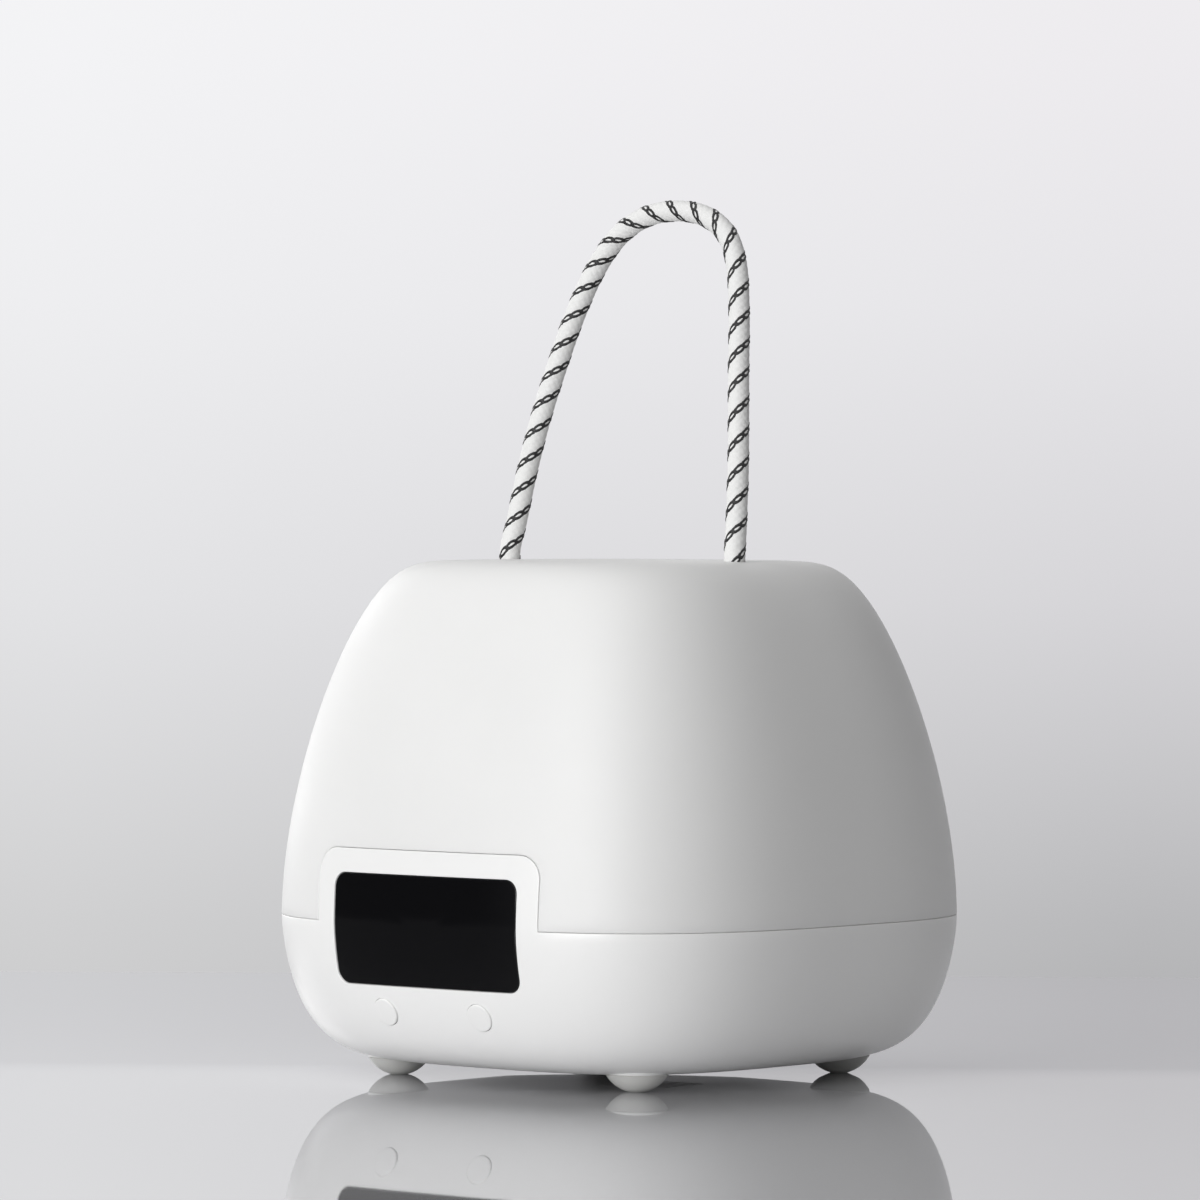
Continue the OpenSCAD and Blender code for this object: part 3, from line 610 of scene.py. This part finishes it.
def frames(line):
    """Unit vectors across a line, square to it and to each other, kept level with the Y axis."""
    ahead = np.gradient(line, axis=0)
    ahead /= np.linalg.norm(ahead, axis=1)[:, None]
    up = np.cross(ahead, (0, 1, 0))
    up /= np.linalg.norm(up, axis=1)[:, None]
    return np.cross(up, ahead), up


rope_line = through(route, 0.26)
across, up = frames(rope_line)
run = run_along(rope_line)
rope_length = run[-1]

# eight yarns each way: where on the braid's grid of crossings each point lies, and which hand is on top
pitch, carriers, relief = 15.245, 8, 0.13
braid_sides = 72
turn = np.arange(braid_sides + 1) / braid_sides
right_lay, left_lay = (carriers * (run[:, None] / pitch + hand * turn) for hand in (-1, 1))
right_over = (np.floor(right_lay) + np.floor(left_lay)) % 2 == 0
# each yarn is a pillow, steep across itself and shallow along itself
right_sine, left_sine = (np.sin(math.pi * (lay % 1)) for lay in (right_lay, left_lay))
pillow = np.where(right_over, right_sine**0.5 * left_sine**0.25, left_sine**0.5 * right_sine**0.25)
radius = rope_r - relief * (1 - pillow)
spin = 2 * math.pi * turn[None, :, None]
rope_points = rope_line[:, None] + radius[..., None] * (np.cos(spin) * across[:, None]
                                                        + np.sin(spin) * up[:, None])
rope_points[:, -1] = rope_points[:, 0]
cap_low, cap_high = (rope_line[end, None, None].repeat(braid_sides + 1, 1) for end in (0, -1))
rope_grid = np.concatenate([cap_low, rope_points, cap_high])
rope_faces = grid_faces(len(rope_grid), braid_sides + 1)

tracer_from, tracer_end = -1.366, 1.5
tracer_swing, tracer_sides = 0.56, 6


def tracer_yarn(side, first):
    """Points of one black yarn: a flat oval of six sides, carried on the right-hand helix and swung to
    one side of it by a rounded power of a cosine, so that two such yarns cross eight times a turn. It
    is broadest at the crossings, where it lies on top of the white yarns."""
    girth = 2 * math.pi * rope_r
    slope = math.atan2(girth, pitch)
    low, high = ((end - tracer_from) / pitch - first for end in (tracer_end, rope_length - tracer_end))
    at = np.linspace(low, high, int((high - low) * math.hypot(pitch, girth) / 0.24))
    wave = np.cos(math.pi * carriers * at)
    swing = side * tracer_swing * np.sign(wave) * np.abs(wave) ** 0.36
    turned = 2 * math.pi * (at - swing * math.cos(slope) / girth)
    along = (at + first) * pitch + tracer_from + swing * math.sin(slope)
    centre, a, u = (np.stack([np.interp(along, run, line[:, k]) for k in range(3)], -1)
                    for line in (rope_line, across, up))
    out = np.cos(turned)[:, None] * a + np.sin(turned)[:, None] * u
    lift = 0.05 + 0.04 * side * np.sin(math.pi * carriers * at)
    middle = centre + (rope_r - relief + lift[:, None]) * out
    ahead = np.gradient(middle, axis=0)
    ahead /= np.linalg.norm(ahead, axis=1)[:, None]
    half_width, half_thickness = 0.35 + 0.25 * (1 - np.abs(wave)) ** 2, 0.17
    ring = np.linspace(0, 2 * math.pi, tracer_sides, endpoint=False)[None, :, None]
    oval = (half_width[:, None, None] * np.cos(ring) * np.cross(out, ahead)[:, None]
            + half_thickness * np.sin(ring) * out[:, None])
    first_ring, last_ring = (middle[end, None, None].repeat(tracer_sides, 1) for end in (0, -1))
    return np.concatenate([first_ring, middle[:, None] + oval, last_ring])


yarns = [tracer_yarn(side, first) for first in (0, 0.5) for side in (-1, 1)]
rope_mesh = bpy.data.meshes.new("braided_rope")
all_points = np.concatenate([grid.reshape(-1, 3) for grid in (rope_grid, *yarns)])
yarn_faces = [grid_faces(len(yarn), tracer_sides, around=True)[:, ::-1] for yarn in yarns]
starts = np.cumsum([grid.size // 3 for grid in (rope_grid, *yarns)])
all_faces = np.concatenate([rope_faces] + [faces + start for faces, start in zip(yarn_faces, starts)])
rope_mesh.from_pydata((all_points * MM).tolist(), [], all_faces.tolist())
rope_uv = rope_mesh.uv_layers.new(name="along_rope")
braid_count = rope_grid.size // 3
uv = np.zeros((len(all_points), 2))
uv[:braid_count, 0] = np.tile(turn, len(rope_grid))
uv[:braid_count, 1] = np.repeat(np.concatenate([[0], run, [rope_length]]), braid_sides + 1)
corner_of = np.empty(len(rope_mesh.loops), int)
rope_mesh.loops.foreach_get("vertex_index", corner_of)
rope_uv.data.foreach_set("uv", uv[corner_of].ravel())
rope_mesh.polygons.foreach_set("material_index",
                               (np.arange(len(all_faces)) >= len(rope_faces)).astype(int))
rope_mesh.shade_smooth()
rope = bpy.data.objects.new("braided_rope_handle", rope_mesh)
bpy.context.scene.collection.objects.link(rope)

# White polyester yarn: soft sheen, hardly any gloss, and filaments that are drawn far coarser than the
# real ones so that they show. The map runs once round the rope in u and in millimetres in v.
white_yarn, tree, principled, _ = new_material("white_polyester_braid", {
    "Roughness": 0.62, "IOR": 1.5, "Sheen Weight": 0.25, "Sheen Roughness": 0.4})
uv_map = add_node(tree, "ShaderNodeUVMap", {"uv_map": "along_rope"})
strands_round, strands_per_mm = 60, 2.2
strand_map = add_node(tree, "ShaderNodeMapping", {"Scale": (strands_round, strands_per_mm, 1)},
                      {"Vector": uv_map.outputs[0]})
strands = add_node(tree, "ShaderNodeTexNoise", {"Scale": 1.0, "Detail": 2.0},
                   {"Vector": strand_map.outputs[0]})
tint = add_node(tree, "ShaderNodeMix", {"data_type": "RGBA", 6: linear("#e3e3e2"), 7: linear("#fbfbfa")},
                {0: strands.outputs[0]})
bump = add_node(tree, "ShaderNodeBump", {"Strength": 0.5, "Distance": 0.03 * MM},
                {"Height": strands.outputs[0]})
tree.links.new(tint.outputs[2], principled.inputs["Base Color"])
tree.links.new(bump.outputs[0], principled.inputs["Normal"])
# Black polyester yarn of the tracer, dyed in the mass, with the same filaments
black_yarn = moulded("black_polyester_tracer", "#101011", 0.55, 0.12, 0.02, cloud=0.2)
rope_mesh.materials.append(white_yarn)
rope_mesh.materials.append(black_yarn)
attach(rope, "lantern")
# the rope is left with no parent, its place baked into its points
rope.parent = None
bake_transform(rope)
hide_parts("handle_rope", "rope_tail_left", "rope_tail_right")

# ---------------------------------------------------------------------------------------------
# Inner parts. The clock module, boards, leads, cell, speaker, deck and screws, all fixed inside the
# base or under the top of the shade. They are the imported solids, finished as what they are made of.
# ---------------------------------------------------------------------------------------------
# Natural ABS of the deck, guide, cradle, strap and rope anchor: unpolished, a little grey
inner_abs = moulded("natural_abs", "#d6d6d3", 0.5, 0.8, 0.01, cloud=0.03)
refinish(inner_abs, "inner_deck", "button_guide", "battery_cradle", "battery_strap", "anchor_plate")
# Microfoamed sheet: a bright diffuse white that throws light up into the dome
refinish(moulded("microfoam_reflector", "#f4f4f2", 0.85, 0.2, 0.01), "reflector_sheet")
# Black moulding of the clock module, matte so that it stays dark behind the window
refinish(moulded("black_display_moulding", "#121214", 0.6, 0.3, 0.008), "display_module")
# Glass-filled nylon of the switches, epoxy of the chips, natural nylon of the connectors
refinish(moulded("black_nylon", "#19191a", 0.5, 0.25, 0.01), "key_switches")
refinish(moulded("chip_epoxy", "#1a1a1c", 0.7, 0.15, 0.01), "main_board_chips")
refinish(moulded("natural_nylon", "#e6ddc9", 0.45, 0.4, 0.006), "main_connectors")
# Yellow phosphor under clear silicone on each light chip
refinish(moulded("led_phosphor", "#f2d36a", 0.25, 0.15, 0.004), "led_chips")
# Shrunk PVC sleeve of the cell, a smooth blue skin drawn tight over steel
refinish(moulded("blue_pvc_sleeve", "#2b5d8f", 0.3, 6, 0.02, cloud=0.05), "battery_cell")
# PVC insulation of the leads
refinish(moulded("black_pvc_lead", "#1b1b1c", 0.42, 0.6, 0.008),
         "battery_lead", "led_lead", "display_lead", "key_lead", "speaker_lead")
# Moulded frame and doped paper cone of the speaker
refinish(moulded("speaker_frame", "#1c1c1e", 0.65, 0.3, 0.015), "alarm_speaker")


def solder_mask(name, ground, copper):
    """A circuit board: lacquer over copper tracks laid on a grid of 2.54 mm, which stand up a little and
    show through it as a second shade."""
    material, tree, principled, place = new_material(name, {"Roughness": 0.32, "IOR": 1.5})
    grid_mm, copper_mm = 2.54, 0.035
    tracks = add_node(tree, "ShaderNodeTexBrick", {
        "Scale": 1 / (grid_mm * MM), "Mortar Size": 0.12, "Mortar Smooth": 0.1, "Brick Width": 2.0,
        "Row Height": 0.5, "Color1": linear(ground), "Color2": linear(ground),
        "Mortar": linear(copper)}, {"Vector": place})
    bump = add_node(tree, "ShaderNodeBump", {"Strength": 0.5, "Distance": copper_mm * MM},
                    {"Height": tracks.outputs["Fac"]})
    tree.links.new(tracks.outputs["Color"], principled.inputs["Base Color"])
    tree.links.new(bump.outputs[0], principled.inputs["Normal"])
    return material


refinish(solder_mask("green_solder_mask", "#0d4a26", "#2a7a45"),
         "main_board", "key_board", "display_board")
refinish(solder_mask("white_solder_mask", "#e9e9e6", "#d2d2cc"), "led_board")


def metal(name, colour, roughness, brush_mm):
    """A bare or plated metal: fine lines from rolling or turning in its roughness and relief."""
    material, tree, principled, place = new_material(name, {"Metallic": 1.0, "Base Color": linear(colour)})
    draw = add_node(tree, "ShaderNodeMapping", {"Scale": (1, 1, 12)}, {"Vector": place})
    lines = add_node(tree, "ShaderNodeTexNoise", {"Scale": 1 / (brush_mm * MM), "Detail": 3.0},
                     {"Vector": draw.outputs[0]})
    rough = add_node(tree, "ShaderNodeMapRange", {"To Min": roughness * 0.7, "To Max": roughness * 1.3},
                     {"Value": lines.outputs[0]})
    bump = add_node(tree, "ShaderNodeBump", {"Strength": 0.3, "Distance": 0.01 * MM},
                    {"Height": lines.outputs[0]})
    tree.links.new(rough.outputs[0], principled.inputs["Roughness"])
    tree.links.new(bump.outputs[0], principled.inputs["Normal"])
    return material


# Zinc-plated steel screws, nickel-plated socket shell and pressed aluminium crimps
refinish(metal("zinc_plated_steel", "#c3c4c2", 0.34, 0.6), "display_screws", "key_screws", "deck_screws",
         "led_screws", "main_screws", "strap_screws", "anchor_screws")
refinish(metal("nickel_plated_steel", "#cfccc4", 0.22, 0.8), "usb_socket")
refinish(metal("pressed_aluminium", "#d5d6d8", 0.38, 0.5), "rope_crimp_left", "rope_crimp_right")

# ---------------------------------------------------------------------------------------------
# Table, camera and lights. A table top of polished white lacquer, seen by a long lens a little above
# the lantern's middle, with a large soft light and a low strip in front, one left and one overhead.
# ---------------------------------------------------------------------------------------------
view_azimuth = 40.6


def toward(azimuth, elevation=0.0):
    """Unit vector for an azimuth in degrees from the front towards +X, and an elevation."""
    a, e = math.radians(azimuth), math.radians(elevation)
    return Vector((math.sin(a) * math.cos(e), -math.cos(a) * math.cos(e), math.sin(e)))


# the table: a slab with rounded corners whose far edge is nearly square to the view
table_back, table_front, table_half, table_thick = -363.0, 1500.0, 900.0, 18
table_sides, corner_power = 256, 0.08
table_turn = (np.arange(table_sides) + 0.5) / table_sides * 2 * math.pi
plan = np.stack([np.sign(f) * np.abs(f) ** corner_power
                 for f in (np.cos(table_turn), np.sin(table_turn))], -1)
plan = plan * (table_half, (table_front - table_back) / 2) + (0, (table_front + table_back) / 2)
table_azimuth = view_azimuth - 2.3
table_right, table_ahead = (np.array(toward(table_azimuth + turned)[:2]) for turned in (90, 0))
plan = plan[:, :1] * table_right + plan[:, 1:] * table_ahead
middle = table_ahead * (table_front + table_back) / 2
table_rings = ((0, 0), (0.3, 0), (0.6, 0), (0.999, 0), (1, -1), (1, -table_thick), (0, -table_thick))
table_grid = np.array([np.concatenate([middle + (plan - middle) * share, np.full((table_sides, 1), z)], 1)
                       for share, z in table_rings])
table = build("table_top", [(table_grid, grid_faces(len(table_grid), table_sides, around=True))])
# White lacquered board, polished: a pale body under a mirror of the lantern
lacquer, tree, principled, place = new_material("polished_lacquer", {
    "Roughness": 0.9, "Specular IOR Level": 0, "Base Color": linear("#bbbbbd")})
polish_share, ripple_mm = 0.62, 40
ripple = add_node(tree, "ShaderNodeTexNoise", {"Scale": 1 / (ripple_mm * MM), "Detail": 1.0},
                  {"Vector": place})
bump = add_node(tree, "ShaderNodeBump", {"Strength": 0.2, "Distance": 0.001 * MM},
                {"Height": ripple.outputs[0]})
polish = add_node(tree, "ShaderNodeBsdfGlossy", {"Color": linear("#f7f7f8"), "Roughness": 0.02},
                  {"Normal": bump.outputs[0]})
lacquered = add_node(tree, "ShaderNodeMixShader", {0: polish_share},
                     {1: principled.outputs[0], 2: polish.outputs[0]})
# light that the polish throws back up on the lantern is too slow to trace as a mirror's
bounce = add_node(tree, "ShaderNodeBsdfDiffuse", {"Color": linear("#dcdcde")})
light_path = add_node(tree, "ShaderNodeLightPath")
either = add_node(tree, "ShaderNodeMixShader", links={
    0: light_path.outputs["Is Diffuse Ray"], 1: lacquered.outputs[0], 2: bounce.outputs[0]})
tree.links.new(either.outputs[0], tree.nodes["Material Output"].inputs["Surface"])
table.data.materials.append(lacquer)

# the camera: turned a little off the lantern's axis and rolled by a hair
camera_distance, camera_height, lens_mm = 1.75, 0.1434, 210
pitch_down, yaw_left, roll = math.radians(0.8185), math.radians(0.170), 0.0025
camera_azimuth = math.radians(view_azimuth)
aim = camera_azimuth + yaw_left
forward = Vector((-math.sin(aim) * math.cos(pitch_down), math.cos(aim) * math.cos(pitch_down),
                  -math.sin(pitch_down)))
right = forward.cross(Vector((0, 0, 1))).normalized()
above = right.cross(forward)
camera_x = math.cos(roll) * right + math.sin(roll) * above
camera_y = math.cos(roll) * above - math.sin(roll) * right
stand = Matrix((camera_x, camera_y, -forward)).transposed().to_4x4()
stand.translation = (camera_distance * math.sin(camera_azimuth),
                     -camera_distance * math.cos(camera_azimuth), camera_height)
camera = bpy.data.objects.new("camera", bpy.data.cameras.new("camera"))
camera.data.lens, camera.data.sensor_width = lens_mm, 36
camera.data.clip_start, camera.data.clip_end = 0.1, 30
camera.matrix_world = stand
bpy.context.scene.collection.objects.link(camera)
bpy.context.scene.camera = camera


def soft_light(name, azimuth, elevation, distance, size, radiance):
    """A rectangular area light aimed at the lantern; its power is radiance times pi times its area."""
    lamp = bpy.data.lights.new(name, "AREA")
    lamp.shape, lamp.size, lamp.size_y = "RECTANGLE", *size
    lamp.energy = radiance * math.pi * size[0] * size[1]
    holder = bpy.data.objects.new(name, lamp)
    lit_spot, direction = Vector((0, 0, 0.09)), toward(azimuth, elevation)
    holder.location = lit_spot + direction * distance
    holder.rotation_euler = (-direction).to_track_quat("-Z", "Y").to_euler()
    bpy.context.scene.collection.objects.link(holder)


soft_light("key_softbox", azimuth=6, elevation=22, distance=2.2, size=(1.3, 1.6), radiance=2.3)
soft_light("low_strip", azimuth=6, elevation=6, distance=2.1, size=(1.3, 0.36), radiance=7.3)
soft_light("left_softbox", azimuth=-98, elevation=14, distance=2.0, size=(1.4, 1.0), radiance=1.75)
soft_light("top_softbox", azimuth=-30, elevation=66, distance=2.2, size=(1.7, 1.6), radiance=1.15)

# the paper behind, paler upwards and a little darker to the right. Polished surfaces see it with the
# room's dark side in front on the left, and matte ones get an even glow from the upper left.
world = bpy.data.worlds.new("studio")
bpy.context.scene.world = world
world.use_nodes = True
sky = world.node_tree
sky.nodes.clear()
light_path = add_node(sky, "ShaderNodeLightPath")
heading = add_node(sky, "ShaderNodeTexCoord").outputs["Generated"]
height = add_node(sky, "ShaderNodeSeparateXYZ", links={0: heading})
height = add_node(sky, "ShaderNodeMapRange", {"From Min": -0.1, "From Max": 0.1},
                  {"Value": height.outputs["Z"]})


def paper(*stops):
    """A colour ramp up the paper from pairs of place and colour, those of its two ends first."""
    ramp = add_node(sky, "ShaderNodeValToRGB", links={0: height.outputs[0]})
    points = ramp.color_ramp.elements
    for number, (place_up, colour) in enumerate(stops):
        point = points[number] if number < 2 else points.new(place_up)
        point.position, point.color = place_up, linear(colour)
    return ramp.outputs[0]


def share_toward(direction, share):
    """How far a ray's heading lies along a direction, mapped by the settings in share."""
    along = add_node(sky, "ShaderNodeVectorMath", {"operation": "DOT_PRODUCT", 1: direction}, {0: heading})
    return add_node(sky, "ShaderNodeMapRange", share, {"Value": along.outputs["Value"]}).outputs[0]


left_paper = paper((0, "#c4c4c5"), (1, "#f6f6f7"), (0.2, "#d0d0d1"), (0.43, "#e3e3e5"),
                   (0.64, "#eeeef0"), (0.81, "#f3f3f5"))
right_paper = paper((0, "#a5a5a6"), (1, "#f1f0f2"), (0.2, "#b9b9bb"), (0.43, "#d6d5d8"),
                    (0.64, "#e6e5e8"), (0.81, "#edebee"))
paper_edge = 0.077
sideways = share_toward(camera_x, {"From Min": -paper_edge, "From Max": paper_edge})
tone = add_node(sky, "ShaderNodeMix", {"data_type": "RGBA"}, {0: sideways, 6: left_paper, 7: right_paper})
backdrop = add_node(sky, "ShaderNodeBackground", {"Strength": 1.0}, {"Color": tone.outputs[2]})

room = share_toward(toward(-50, 5), {"From Min": 0.6, "From Max": 0.97, "To Min": 0.85, "To Max": 0.05})
fade = add_node(sky, "ShaderNodeMapRange", {"To Min": 1.29, "To Max": 1.06}, {"Value": sideways})
fade = add_node(sky, "ShaderNodeMath", {"operation": "MULTIPLY"}, {0: fade.outputs[0], 1: room})
mirrored = add_node(sky, "ShaderNodeBackground", links={"Color": tone.outputs[2],
                                                        "Strength": fade.outputs[0]})
glow = share_toward(toward(-30, 40), {"From Min": -1.0, "From Max": 0.9, "To Min": 0.0, "To Max": 0.36})
ambient = add_node(sky, "ShaderNodeBackground", {"Color": linear("#ffffff")}, {"Strength": glow})
choice = add_node(sky, "ShaderNodeMixShader", links={
    0: light_path.outputs["Is Glossy Ray"], 1: ambient.outputs[0], 2: mirrored.outputs[0]})
choice = add_node(sky, "ShaderNodeMixShader", links={
    0: light_path.outputs["Is Camera Ray"], 1: choice.outputs[0], 2: backdrop.outputs[0]})
add_node(sky, "ShaderNodeOutputWorld", links={"Surface": choice.outputs[0]})
bpy.context.scene.view_settings.view_transform = "Standard"
